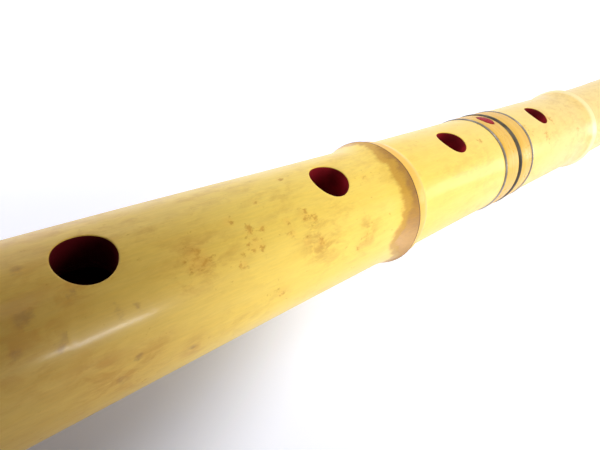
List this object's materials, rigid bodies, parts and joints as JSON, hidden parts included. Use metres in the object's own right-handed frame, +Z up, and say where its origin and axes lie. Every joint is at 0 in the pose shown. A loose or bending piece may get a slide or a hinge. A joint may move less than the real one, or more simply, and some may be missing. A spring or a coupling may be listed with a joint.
{
  "type": "shakuhachi",
  "caption": "End-blown bamboo flute in two halves on a middle tenon joint, with finger holes, a thumb hole, an oblique blowing edge and a flared root end.",
  "frame": {"origin": "middle of the base that the flute lies on", "axes": "+X along the flute from its root end to its mouth, +Z up through the finger holes, the thumb hole faces down"},
  "size_m": [0.545, 0.049, 0.0497],
  "materials": {
    "bamboo": "polished bamboo skin, golden, with brown mottling",
    "bore_lacquer": "glossy dark red lacquer",
    "hard_lacquer": "hard black lacquer",
    "amber_binding": "amber binding under clear lacquer",
    "seam_metal": "tarnished silver",
    "ring_silver": "silver wire",
    "seal_lacquer": "plain red lacquer",
    "horn": "polished black horn"
  },
  "bodies": {
    "root_half": {"lower_culm": "bamboo", "lower_bore_lining": "bore_lacquer", "socket_lining": "hard_lacquer", "lower_seam_ring": "seam_metal", "lower_binding": "amber_binding", "lower_wire_ring": "ring_silver", "seal_inlay": "seal_lacquer"},
    "tenon": {"tenon_sleeve": "hard_lacquer", "upper_seam_ring": "seam_metal"},
    "mouth_half": {"upper_culm": "bamboo", "upper_bore_lining": "bore_lacquer", "upper_binding": "amber_binding", "upper_wire_ring": "ring_silver", "blowing_edge_insert": "horn"}
  },
  "joints": [
    {"name": "joint_slide", "type": "slide", "parent": "root_half", "child": "tenon", "axis": [1, 0, 0], "range_m": [0, 0.03]},
    {"name": "joint_turn", "type": "hinge", "parent": "tenon", "child": "mouth_half", "pos_m": [-0.01199, 0, 0.01819], "axis": [1, 0, 0], "continuous": true}
  ]
}
